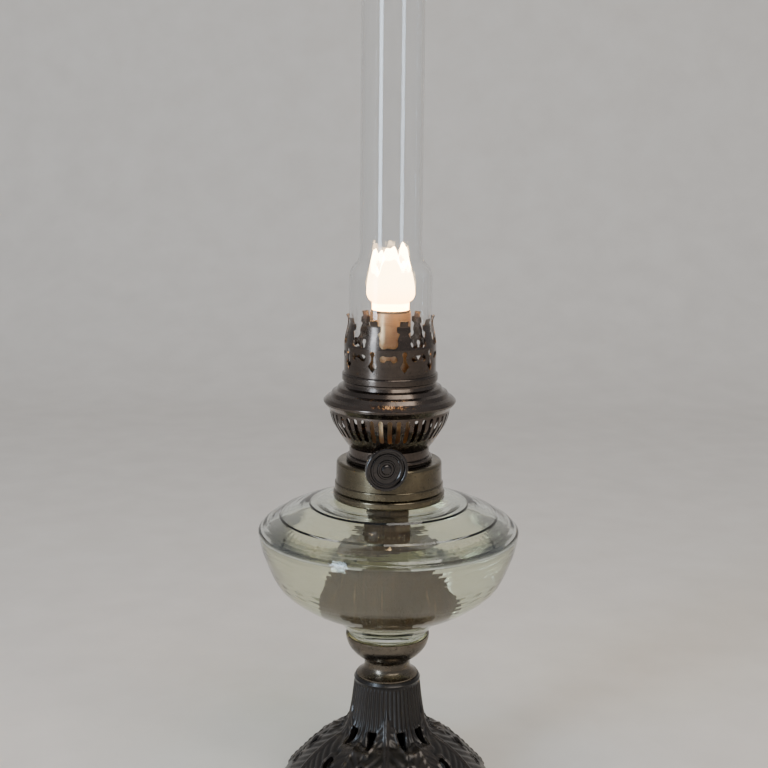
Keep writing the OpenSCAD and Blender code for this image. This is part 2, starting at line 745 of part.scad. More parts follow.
module wick_knob() {
    color("#2e2823") on_spindle(knob_reach - knob_t) difference() {
        rotate_extrude() knob_profile();
        for (k = [0 : mill_count - 1]) rotate([0, 0, k * 360 / mill_count]) translate([knob_r + 0.2, 0, 0])
            cylinder(r = 0.5, h = knob_t - 0.4, $fn = 16);
    }
}

// Wick: one woven band, rolled round the draught tube above and spread out in the oil below
wick_out_r = wick_tube_d / 2 - run_gap;
wick_in_r = draught_r + run_gap;
wick_mid_r = (wick_out_r + wick_in_r) / 2;
wick_t = wick_out_r - wick_in_r;
wick_top_z = wick_tube_top_z + wick_show;
wick_bottom_z = cup_rim_z + wick_end_h;
wick_columns = 30;
seam_w = 0.8;
inlet_seam_w = inlet_w + 2;
wick_travel_down = 6;
wick_travel_up = 3;
seam_top_z = inlet_z + inlet_h + wick_travel_down + 1;
seam_close_h = 16;
roll_end_z = collar_z + 2;
band_w = 2 * PI * wick_mid_r - inlet_seam_w;

// Share of the way from the roll to the spread end, eased at both ends
function spread(z) = let (t = max(0, min(1, (roll_end_z - z) / (roll_end_z - wick_bottom_z)))) t * t * (3 - 2 * t);
// Width of the open seam at the back of the roll
function seam(z) = let (t = max(0, min(1, (z - seam_top_z) / seam_close_h))) inlet_seam_w + (seam_w - inlet_seam_w) * t;
// Width of the band, its bend radius and how far its middle lies from the centre line
function band(z) = spread(z) > 0 ? band_w + (wick_spread - band_w) * spread(z) : 2 * PI * wick_mid_r - seam(z);
function bend(z) = wick_mid_r / (1 - spread(z) * 0.8);
function reach(z) = wick_mid_r + 3 * spread(z);
// Point of the band at height z, u from -1 to 1 across it and s from the middle of its thickness
function band_point(z, u, s) =
    let (
        a = u * band(z) / bend(z) / 2 * 180 / PI,
        ripple = 1.1 * spread(z) * sin(u * 420 + (roll_end_z - z) * 3)
    )
    [(bend(z) + s + ripple) * sin(a), bend(z) - reach(z) - (bend(z) + s + ripple) * cos(a), z];

module wick() {
    levels = concat(
        [wick_top_z],
        [for (k = [4 : -1 : 0]) seam_top_z + seam_close_h * k / 4],
        [for (k = [0 : 16]) roll_end_z + (wick_bottom_z - roll_end_z) * k / 16]
    );
    loop = 2 * (wick_columns + 1);
    points = [for (z = levels) for (k = [0 : loop - 1])
        k <= wick_columns
            ? band_point(z, 2 * k / wick_columns - 1, wick_t / 2)
            : band_point(z, 2 * (loop - 1 - k) / wick_columns - 1, -wick_t / 2)];
    sides = [for (r = [0 : len(levels) - 2]) for (k = [0 : loop - 1]) each
        let (a = r * loop + k, b = r * loop + (k + 1) % loop)
        [[a, b, b + loop], [a, b + loop, a + loop]]];
    last = (len(levels) - 1) * loop;
    caps = [for (k = [0 : wick_columns - 1]) each
        let (a = k, b = k + 1, c = loop - 2 - k, d = loop - 1 - k)
        [[a, d, c], [a, c, b], [last + a, last + b, last + c], [last + a, last + c, last + d]]];
    color("#b39a72") polyhedron(points, concat(sides, caps));
}

// Chimney: a plain foot, a rounded shoulder and a tall tube
chimney_top_z = chimney_z + chimney_h;
foot_r = chimney_foot_d / 2;
stack_r = chimney_tube_d / 2;
chimney_foot_top = chimney_z + chimney_foot_h;
chimney_line = concat(
    [[foot_r, chimney_z], [foot_r, chimney_foot_top]],
    smooth([
        [foot_r - 0.15, chimney_foot_top + shoulder_h * 0.12],
        [foot_r - 1.6, chimney_foot_top + shoulder_h * 0.42],
        [stack_r + 1.4, chimney_foot_top + shoulder_h * 0.74],
        [stack_r, chimney_foot_top + shoulder_h * 1.15],
        [stack_r, chimney_foot_top + shoulder_h * 1.6]
    ], 5),
    [[stack_r, chimney_top_z]]
);

module glass_chimney() {
    color([0.9, 0.93, 0.95, 0.3]) turned_sheet(chimney_line, chimney_wall);
}

base_casting();
base_washer();
base_nut();
tie_rod();
stem_cup();
cup_nut();
peg_cement();
glass_font();
collar_cement();
font_collar();
burner_thread_ring();
burner_neck();
air_basket();
gallery_plate();
chimney_crown();
wick_tube();
draught_tube();
spindle_sleeve();
spindle_bracket();
spindle();
wick_wheels();
wick_knob();
wick();
glass_chimney();
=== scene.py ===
"""Oil table lamp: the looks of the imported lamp.

Every size is in millimetres until a mesh is made, and every place is in the lamp's own frame: the
origin under the foot, +Z up, the wick knob facing -Y. Angles of pierced work are counted from -Y.
"""

import math

import bmesh
import bpy
import numpy as np
from mathutils import Euler, Matrix, Vector


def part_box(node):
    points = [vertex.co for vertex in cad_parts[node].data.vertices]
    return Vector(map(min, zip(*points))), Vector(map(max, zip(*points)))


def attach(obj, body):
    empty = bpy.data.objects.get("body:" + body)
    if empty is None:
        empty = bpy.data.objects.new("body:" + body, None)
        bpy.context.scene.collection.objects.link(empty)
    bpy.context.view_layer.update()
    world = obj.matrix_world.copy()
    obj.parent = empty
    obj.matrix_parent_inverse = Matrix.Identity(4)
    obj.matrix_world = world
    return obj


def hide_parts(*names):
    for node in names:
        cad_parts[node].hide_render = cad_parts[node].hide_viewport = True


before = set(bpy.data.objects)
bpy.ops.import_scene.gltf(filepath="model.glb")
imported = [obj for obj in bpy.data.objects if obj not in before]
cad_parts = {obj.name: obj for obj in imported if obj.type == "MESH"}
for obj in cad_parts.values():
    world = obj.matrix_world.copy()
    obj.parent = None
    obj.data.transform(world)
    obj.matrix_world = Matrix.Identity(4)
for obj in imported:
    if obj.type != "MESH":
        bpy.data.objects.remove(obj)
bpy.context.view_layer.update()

bl_info = {
    "name": "Oil Table Lamp",
    "version": (1, 0, 0),
    "blender": (4, 5, 0),
    "location": "View3D > Sidebar > Oil Lamp",
    "description": "Dresses the packed oil lamp: cast base, brass burner, glass, oil, wick and flame",
    "category": "Object",
}

MM = 0.001

# The cast base: rod hole, top, wall and outline from the top edge down to the foot, as radius and height
ROD_HOLE_R, BASE_TOP, BASE_WALL = 3.3, 86.0, 2.8
WINDOW_ANGLE, BASE_TURN = 21.0, -17.5
BASE_OUTLINE = [
    (21.0, 86.0), (21.3, 83.0), (22.1, 76.0), (23.2, 67.0), (24.9, 57.5), (27.8, 50.0), (32.6, 45.0),
    (39.0, 42.0),
    (46.4, 36.6), (53.0, 30.6), (59.2, 23.8), (66.6, 15.8), (71.6, 8.5), (73.8, 4.0), (74.6, 0.0),
]

# How far the oil stands into the glass, so that light meets no air between them
WET = 0.15

# The wick as the CAD makes it: ends, roll, seam at the back, spread end and thickness
WICK_TOP, WICK_BOTTOM = (v / MM for v in (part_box("wick")[1][2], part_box("wick")[0][2]))
WICK_R, WICK_T = 11.3, 2.0
WICK_SEAM, WICK_INLET_SEAM = 0.8, 11.0
WICK_SEAM_TOP, WICK_SEAM_CLOSE = 265.5, 16.0
WICK_ROLL_END, WICK_SPREAD = 209.5, 76.0

# The flame from the middle of its foot up to its crest and down the inside, as radius and share of height
FLAME_LINE = [
    (11.3, 0.0), (11.8, 0.0), (11.8, 0.07), (12.0, 0.15), (13.6, 0.18), (15.1, 0.25), (15.6, 0.36),
    (14.8, 0.58), (13.0, 0.84), (11.2, 1.0), (9.6, 0.86), (8.8, 0.5), (9.2, 0.23), (10.6, 0.155),
    (10.8, 0.07), (10.8, 0.0), (11.3, 0.0),
]

# Shapes


def smooth_line(stations, count):
    """Catmull-Rom curve through the stations, sampled at count points an even distance apart."""
    p = np.asarray(stations, float)
    a = np.vstack([p[:1], p[:-2], p[-2:-1]])[: len(p) - 1]
    b, c = p[:-1], p[1:]
    d = np.vstack([p[2:], p[-1:]])
    t = np.linspace(0, 1, 24, endpoint=False)[None, :, None]
    a, b, c, d = (x[:, None, :] for x in (a, b, c, d))
    curve = 0.5 * (2 * b + (c - a) * t + (2 * a - 5 * b + 4 * c - d) * t**2 + (3 * b - a - 3 * c + d) * t**3)
    return even_line(np.vstack([curve.reshape(-1, 2), p[-1:]]), count)


def even_line(points, count):
    """The polyline through the points, sampled at count points an even distance apart."""
    along = np.concatenate([[0], np.cumsum(np.linalg.norm(np.diff(points, axis=0), axis=1))])
    want = np.linspace(0, along[-1], count)
    return np.stack([np.interp(want, along, points[:, k]) for k in range(points.shape[1])], 1)


def line_normals(line):
    """Unit vectors square to a line of (radius, height) points, to the left of its direction."""
    run = np.gradient(line, axis=0)
    run /= np.linalg.norm(run, axis=1, keepdims=True) + 1e-12
    return np.stack([-run[:, 1], run[:, 0]], 1)


def turned(radius, height, angle):
    """Points at a radius and height about the Z axis, with the angle counted from -Y towards +X."""
    return np.stack([radius * np.sin(angle), -radius * np.cos(angle), height + 0 * angle], -1)


def grid_faces(rows, columns, wrap_rows=False, wrap_columns=False):
    """Quads of a grid of points stored row by row, closed along either way where asked."""
    r = np.arange(rows if wrap_rows else rows - 1)
    c = np.arange(columns if wrap_columns else columns - 1)
    r, c = (x.ravel() for x in np.meshgrid(r, c, indexing="ij"))
    r2, c2 = (r + 1) % rows, (c + 1) % columns
    return np.stack([r * columns + c, r * columns + c2, r2 * columns + c2, r2 * columns + c], 1)


def add_piece(name, points, faces, body, sharp=40.0):
    """Makes a mesh from points in millimetres, smooth but for edges sharper than the angle, and lets it ride."""
    mesh = bpy.data.meshes.new(name)
    mesh.from_pydata((np.asarray(points) * MM).tolist(), [], [list(f) for f in faces])
    shell = bmesh.new()
    shell.from_mesh(mesh)
    bmesh.ops.recalc_face_normals(shell, faces=shell.faces)
    shell.to_mesh(mesh)
    shell.free()
    mesh.shade_smooth()
    if sharp:
        mesh.set_sharp_from_angle(angle=math.radians(sharp))
    piece = bpy.data.objects.new(name, mesh)
    bpy.context.scene.collection.objects.link(piece)
    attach(piece, body)
    return piece


def set_attribute(piece, name, values):
    """Stores one number per vertex, for the piece's material to read."""
    layer = piece.data.attributes.new(name, "FLOAT", "POINT")
    layer.data.foreach_set("value", np.asarray(values, np.float32).ravel())


def bump_at(x, centre, width):
    """A soft bell of height 1 at the centre."""
    return np.exp(-(((x - centre) / width) ** 2))


def ease(x, low, high):
    """0 below low, 1 above high, and a smooth step between."""
    t = np.clip((x - low) / (high - low), 0, 1)
    return t * t * (3 - 2 * t)


def revolved(line, columns):
    """A (radius, height) line turned about Z, as points and faces.

    Each row of the grid is one station of the line; an end on the axis becomes one point and a fan."""
    angle = np.linspace(0, 2 * math.pi, columns, endpoint=False)[None]
    line = np.asarray(line, float)
    low, high = int(line[0, 0] < 1e-6), len(line) - int(line[-1, 0] < 1e-6)
    body = turned(line[low:high, :1], line[low:high, 1:], angle).reshape(-1, 3)
    rows = high - low
    faces = grid_faces(rows, columns, wrap_columns=True).tolist()
    points = [body]
    for used, row, station in ((low == 1, 0, line[0]), (high == len(line) - 1, rows - 1, line[-1])):
        if used:
            pole = sum(len(p) for p in points)
            points.append(np.array([[0, 0, station[1]]]))
            faces += [[row * columns + k, row * columns + (k + 1) % columns, pole] for k in range(columns)]
    return np.vstack(points), faces


def font_hollow():
    """The inner wall of the font as (radius, height) points with the height rising, read from the faces
    of the CAD mesh that look towards the axis."""
    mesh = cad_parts["glass_font"].data
    mesh.calc_loop_triangles()
    points = np.array([v.co for v in mesh.vertices]) / MM
    corners = np.array([t.vertices for t in mesh.loop_triangles])
    normals = np.array([t.normal for t in mesh.loop_triangles])
    middle = points[corners].mean(1)
    inward = (middle[:, :2] * normals[:, :2]).sum(1) / np.hypot(middle[:, 0], middle[:, 1]) < -0.01
    wall = points[np.unique(corners[inward])]
    wall = np.stack([np.hypot(wall[:, 0], wall[:, 1]), wall[:, 2]], 1)
    wall = wall[wall[:, 1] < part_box("font_collar")[0][2] / MM]
    _, first = np.unique(wall[:, 1].round(2), return_index=True)
    return wall[first]


# Materials


class Finish:
    """A node material under construction, read on Object coordinates."""

    def __init__(self, name):
        self.material = bpy.data.materials.new(name)
        self.material.use_nodes = True
        self.tree = self.material.node_tree
        self.tree.nodes.clear()
        self.out = self.add("ShaderNodeOutputMaterial")
        self.place = self.add("ShaderNodeTexCoord").outputs["Object"]

    def add(self, kind, inputs=None, **settings):
        node = self.tree.nodes.new(kind)
        for key, value in settings.items():
            setattr(node, key, value)
        for key, value in (inputs or {}).items():
            self.set(node.inputs[key], value)
        return node

    def set(self, socket, value):
        """Links a socket or sets a constant; a colour may be given without its alpha."""
        if isinstance(value, bpy.types.NodeSocket):
            self.tree.links.new(value, socket)
        elif socket.type == "RGBA" and len(value) == 3:
            socket.default_value = (*value, 1.0)
        else:
            socket.default_value = value

    def scaled(self, factors):
        """Object coordinates times three factors, in millimetres."""
        node = self.add("ShaderNodeMapping", {"Vector": self.place, "Scale": [f / MM for f in factors]})
        return node.outputs["Vector"]

    def noise(self, per_mm, detail=4.0, rough=0.55, where=None, warp=0.0):
        """Cloudy pattern from 0 to 1 with about that many features in a millimetre."""
        at = where or self.scaled((per_mm, per_mm, per_mm))
        node = self.add(
            "ShaderNodeTexNoise",
            {"Vector": at, "Scale": 1.0, "Detail": detail, "Roughness": rough, "Distortion": warp},
        )
        return node.outputs["Fac"]

    def rings(self, per_mm):
        """Turning marks: a pattern of radius and height alone, as a lathe leaves it."""
        xyz = self.add("ShaderNodeSeparateXYZ", {"Vector": self.scaled((1, 1, 1))}).outputs
        squares = [self.math("MULTIPLY", xyz[k], xyz[k]) for k in (0, 1)]
        radius = self.math("SQRT", self.math("ADD", *squares))
        radius, height = (self.math("MULTIPLY", value, per_mm) for value in (radius, xyz[2]))
        at = self.add("ShaderNodeCombineXYZ", {"X": radius, "Z": height})
        return self.noise(1, 3, 0.6, at.outputs[0])

    def math(self, kind, a, b=0.0, clamp=False):
        return self.add("ShaderNodeMath", {0: a, 1: b}, operation=kind, use_clamp=clamp).outputs[0]

    def spread(self, value, low, high, to_low=0.0, to_high=1.0):
        """Maps low..high of a value to another range, without going past its ends."""
        names = ("Value", "From Min", "From Max", "To Min", "To Max")
        return self.add("ShaderNodeMapRange", dict(zip(names, (value, low, high, to_low, to_high)))).outputs[0]

    def mix(self, share, a, b, blend="MIX"):
        """Colour a where share is 0 and colour b where it is 1."""
        node = self.add("ShaderNodeMix", data_type="RGBA", blend_type=blend)
        for index, value in ((0, share), (6, a), (7, b)):
            self.set(node.inputs[index], value)
        return node.outputs[2]

    def bump(self, height, strength, depth_mm, under=None):
        inputs = {"Height": height, "Strength": strength, "Distance": depth_mm * MM}
        if under is not None:
            inputs["Normal"] = under
        return self.add("ShaderNodeBump", inputs).outputs[0]

    def attribute(self, name):
        return self.add("ShaderNodeAttribute", attribute_name=name).outputs["Fac"]

    def principled(self, **inputs):
        """Ends the material in one Principled shader; underscores in the names stand for spaces."""
        shader = self.add("ShaderNodeBsdfPrincipled", {k.replace("_", " "): v for k, v in inputs.items()})
        self.tree.links.new(shader.outputs[0], self.out.inputs["Surface"])
        return self.material


def aged_brass(name, dark, light, rough, patina=0.05, fine=0.5, coat=0.0, seed=0.0):
    """Turned sheet brass under old lacquer: cloudy patina, specks, handling marks and turning rings."""
    f = Finish(name)
    at = f.add("ShaderNodeMapping", {"Vector": f.scaled((patina, patina, patina * 1.6)), "Location": (seed, seed * 0.7, 0)}).outputs[0]
    clouds = f.spread(f.noise(1, 6, 0.6, at, 0.4), 0.36, 0.66)
    specks = f.spread(f.noise(fine, 3, 0.7), 0.56, 0.68)
    rings = f.rings(2.2)
    colour = f.mix(clouds, dark, light)
    colour = f.mix(f.math("MULTIPLY", specks, 0.45), colour, tuple(c * 0.35 for c in dark))
    colour = f.mix(f.spread(rings, 0.3, 0.7, 0.0, 0.35), colour, tuple(min(1, c * 1.25) for c in light))
    shine = f.math("ADD", f.spread(clouds, 0, 1, rough[1], rough[0]), f.math("MULTIPLY", specks, 0.16), clamp=True)
    relief = f.bump(rings, 0.22, 0.05)
    relief = f.bump(f.noise(0.9, 3, 0.5), 0.12, 0.08, relief)
    return f.principled(
        Base_Color=colour, Metallic=1.0, Roughness=shine, Normal=relief, Coat_Weight=coat, Coat_Roughness=0.12
    )


def black_iron(dark, worn_lit_tone):
    """Blacked and lacquered cast iron: rubbed warm on the raised work, partly wear and partly a painted highlight,
    dusty and dull in the hollows.
    """
    f = Finish("black_iron")
    raised = f.attribute("raised")
    sand = f.noise(0.9, 4, 0.6)
    clouds = f.noise(0.06, 5, 0.6)
    # Rubbed wear on the raised work, which is also a painted highlight: lighter and warmer where the carving stands
    # proud
    wear_and_highlight = f.math("MULTIPLY", f.spread(raised, 0.45, 0.95), f.spread(clouds, 0.35, 0.7, 0.2, 0.9))
    dust = f.math("MULTIPLY", f.spread(raised, 0.30, 0.05), f.spread(sand, 0.3, 0.7, 0.35, 0.9))
    colour = f.mix(wear_and_highlight, dark, worn_lit_tone)
    colour = f.mix(dust, colour, (0.030, 0.024, 0.019))
    shine = f.math("ADD", f.spread(wear_and_highlight, 0, 1, 0.34, 0.24), f.math("MULTIPLY", dust, 0.25), clamp=True)
    shine = f.math("ADD", shine, f.spread(sand, 0.3, 0.8, -0.04, 0.08), clamp=True)
    relief = f.bump(sand, 0.35, 0.25)
    relief = f.bump(f.noise(0.25, 3, 0.5), 0.3, 0.5, relief)
    return f.principled(
        Base_Color=colour, Metallic=0.6, Roughness=shine, Normal=relief, Coat_Weight=0.25, Coat_Roughness=0.16
    )


def clear_glass(name, tint, wave_per_mm, wave_depth, ior):
    """Old drawn glass: clear, with a slow waviness. Lamp light passes it without being bent."""
    f = Finish(name)
    wave = f.bump(f.noise(wave_per_mm, 2, 0.4), 0.6, wave_depth)
    glass = f.add(
        "ShaderNodeBsdfPrincipled",
        {"Base Color": (*tint, 1), "Roughness": 0.0, "IOR": ior, "Transmission Weight": 1.0, "Normal": wave},
    )
    open_way = f.add("ShaderNodeBsdfTransparent", {"Color": (*tint, 1)})
    ray = f.add("ShaderNodeLightPath").outputs["Is Shadow Ray"]
    mix = f.add("ShaderNodeMixShader", {0: ray, 1: glass.outputs[0], 2: open_way.outputs[0]})
    f.tree.links.new(mix.outputs[0], f.out.inputs["Surface"])
    return f.material


def wear(piece, material):
    """Gives a piece one material in place of those it has."""
    piece.data.materials.clear()
    piece.data.materials.append(material)


# Settings


def colour_setting(name, words, default):
    return bpy.props.FloatVectorProperty(
        name=name, description=words, default=default, size=3, min=0, max=1, subtype="COLOR"
    )


def length_setting(name, words, millimetres, low=0.0, high=1000.0):
    return bpy.props.FloatProperty(
        name=name,
        description=words,
        default=millimetres * MM,
        min=low * MM,
        max=high * MM,
        subtype="DISTANCE",
        unit="LENGTH",
    )


class LampColours(bpy.types.PropertyGroup):
    iron: colour_setting("Iron", "Blacked iron of the base", (0.012, 0.010, 0.009))
    # The rubbed colour of the base is both wear and a painted highlight on its raised work
    iron_rubbed_lit: colour_setting("Worn iron", "Iron where hands have rubbed it", (0.055, 0.043, 0.034))
    burner: colour_setting("Burner", "Bronzed brass of the burner", (0.072, 0.056, 0.046))
    collar: colour_setting("Collar", "Olive-brown brass of the collar", (0.098, 0.080, 0.050))
    cup: colour_setting("Cup", "Greyed brass of the cup under the font", (0.120, 0.102, 0.080))
    font: colour_setting("Font glass", "Tint of the thick glass", (0.930, 0.965, 0.915))
    oil: colour_setting("Oil", "Tint of the lamp oil", (0.910, 0.870, 0.700))
    cotton: colour_setting("Cotton", "Oil-soaked cotton of the wick", (0.060, 0.028, 0.013))


class LampCamera(bpy.types.PropertyGroup):
    distance: length_setting("Distance", "From the lamp's axis to the camera, level", 892, 200, 5000)
    height: length_setting("Height", "Camera above the table", 455, 0, 3000)
    azimuth: bpy.props.FloatProperty(
        name="Azimuth", description="Where the camera stands, from -Y", default=math.radians(-17.5), subtype="ANGLE"
    )
    pitch: bpy.props.FloatProperty(
        name="Pitch", description="How far the camera looks down", default=math.radians(11), subtype="ANGLE"
    )
    yaw: bpy.props.FloatProperty(
        name="Yaw",
        description="How far the camera looks to the left of the axis",
        default=math.radians(0.24),
        subtype="ANGLE",
    )
    roll: bpy.props.FloatProperty(
        name="Roll", description="How far the camera is rolled", default=math.radians(0.5), subtype="ANGLE"
    )
    lens: bpy.props.FloatProperty(
        name="Lens", description="Focal length on a 36 mm sensor, in millimetres", default=66.56, min=10, max=300
    )


class LampFill(bpy.types.PropertyGroup):
    level: length_setting("Oil level", "Height of the oil above the table", 183, 140, 200)


class LampFlame(bpy.types.PropertyGroup):
    lit: bpy.props.BoolProperty(name="Lit", description="Whether the lamp burns", default=True)
    height: length_setting("Height", "From the wick to the tallest tongue", 38, 5, 60)
    glow: bpy.props.FloatProperty(name="Glow", description="Strength of the flame's light", default=170.0, min=0)


class LampLights(bpy.types.PropertyGroup):
    room: bpy.props.FloatProperty(name="Room", description="Strength of the even light all round", default=0.42, min=0)
    window: bpy.props.FloatProperty(
        name="Window",
        description="Power of the tall cool window to the left",
        default=24.0,
        min=0,
        subtype="POWER",
        unit="POWER",
    )
    top: bpy.props.FloatProperty(
        name="Top",
        description="Power of the large soft light above",
        default=26.0,
        min=0,
        subtype="POWER",
        unit="POWER",
    )


# Operators


class OILLAMP_OT_stage(bpy.types.Operator):
    """Makes the table top with its curved back, the soft lights and the camera"""

    bl_idname = "oillamp.stage"
    bl_label = "Stage"

    def execute(self, context):
        shot, lights = context.scene.oillamp_camera, context.scene.oillamp_lights
        turn = Matrix.Rotation(shot.azimuth, 4, "Z")

        # Floor: flat to 1.2 m behind the lamp, then a quarter circle up into an upright back
        line = np.array([(-2400.0, 0.0), (1200.0, 0.0)])
        bend = np.linspace(0, math.pi / 2, 25)[1:]
        line = np.vstack([line, np.stack([1200 + 700 * np.sin(bend), 700 - 700 * np.cos(bend)], 1), [(1900, 2600)]])
        across = np.array([-3000.0, 3000.0])
        points = np.stack(
            [np.repeat(across[None], len(line), 0).ravel(), np.repeat(line[:, 0], 2), np.repeat(line[:, 1], 2)], 1
        )
        mesh = bpy.data.meshes.new("table_top")
        mesh.from_pydata((points * MM).tolist(), [], grid_faces(len(line), 2).tolist())
        mesh.transform(turn)
        mesh.shade_smooth()
        floor = bpy.data.objects.new("table_top", mesh)
        context.scene.collection.objects.link(floor)
        f = Finish("pale_table")
        tone = f.mix(f.spread(f.noise(0.02, 4, 0.5), 0.3, 0.7), (0.74, 0.70, 0.65), (0.79, 0.75, 0.70))
        wear(floor, f.principled(Base_Color=tone, Roughness=0.85, Specular_IOR_Level=0.2))

        world = bpy.data.worlds.new("room")
        world.use_nodes = True
        world.node_tree.nodes["Background"].inputs["Color"].default_value = (0.93, 0.95, 1.0, 1)
        world.node_tree.nodes["Background"].inputs["Strength"].default_value = lights.room
        context.scene.world = world

        def soft_light(name, power, size, at_angle, away, height, colour):
            """A rectangular light at an angle from the camera's side, aimed at the middle of the lamp."""
            data = bpy.data.lights.new(name, "AREA")
            data.shape, data.size, data.size_y = "RECTANGLE", size[0], size[1]
            data.energy, data.color = power, colour
            lamp = bpy.data.objects.new(name, data)
            a = shot.azimuth + math.radians(at_angle)
            lamp.location = (away * math.sin(a), -away * math.cos(a), height)
            aim = Vector((0, 0, 0.26)) - lamp.location
            lamp.rotation_euler = aim.to_track_quat("-Z", "Y").to_euler()
            context.scene.collection.objects.link(lamp)

        soft_light("window_light", lights.window, (0.36, 1.3), -43, 1.6, 0.55, (0.66, 0.82, 1.0))
        soft_light("top_light", lights.top, (1.6, 1.2), 30, 1.5, 1.7, (1.0, 0.94, 0.86))

        data = bpy.data.cameras.new("camera")
        data.sensor_width, data.lens = 36.0, shot.lens
        data.clip_start, data.clip_end = 0.02, 20.0
        camera = bpy.data.objects.new("camera", data)
        camera.location = (shot.distance * math.sin(shot.azimuth), -shot.distance * math.cos(shot.azimuth), shot.height)
        aimed = Euler((math.pi / 2 - shot.pitch, 0, shot.azimuth + shot.yaw)).to_matrix()
        camera.rotation_euler = (aimed @ Matrix.Rotation(shot.roll, 3, "Z")).to_euler()
        context.scene.collection.objects.link(camera)
        context.scene.camera = camera
        return {"FINISHED"}


class OILLAMP_OT_metals(bpy.types.Operator):
    """Finishes the turned and pressed brass and steel pieces of the frame"""

    bl_idname = "oillamp.metals"
    bl_label = "Brass and steel"

    def execute(self, context):
        colours = context.scene.oillamp_colours

        def tones(colour):
            return tuple(c * 0.62 for c in colour), tuple(min(1, c * 1.35) for c in colour)

        burner = aged_brass("bronzed_brass", *tones(colours.burner), (0.16, 0.28), coat=0.3)
        gilt = aged_brass("heat_browned_brass", (0.30, 0.19, 0.10), (0.46, 0.32, 0.18), (0.30, 0.42))
        steel = aged_brass("turned_steel", (0.26, 0.25, 0.23), (0.38, 0.37, 0.35), (0.28, 0.42), patina=0.1)
        finishes = {
            "stem_cup": aged_brass("greyed_brass", *tones(colours.cup), (0.18, 0.30), seed=3.0),
            "font_collar": aged_brass("olive_brass", *tones(colours.collar), (0.17, 0.30), coat=0.25, seed=5.0),
            "burner_thread_ring": burner,
            "burner_neck": burner,
            "air_basket": burner,
            "gallery_plate": burner,
            "chimney_crown": burner,
            "spindle_sleeve": burner,
            "spindle_bracket": burner,
            "wick_knob": aged_brass("knob_bronze", (0.018, 0.017, 0.017), (0.050, 0.044, 0.042), (0.16, 0.28), coat=0.4),
            "wick_tube": gilt,
            "draught_tube": gilt,
            "spindle": steel,
            "wick_wheels": steel,
            "tie_rod": steel,
            "cup_nut": steel,
            "base_nut": steel,
            "base_washer": steel,
        }
        for node, material in finishes.items():
            wear(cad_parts[node], material)
        return {"FINISHED"}


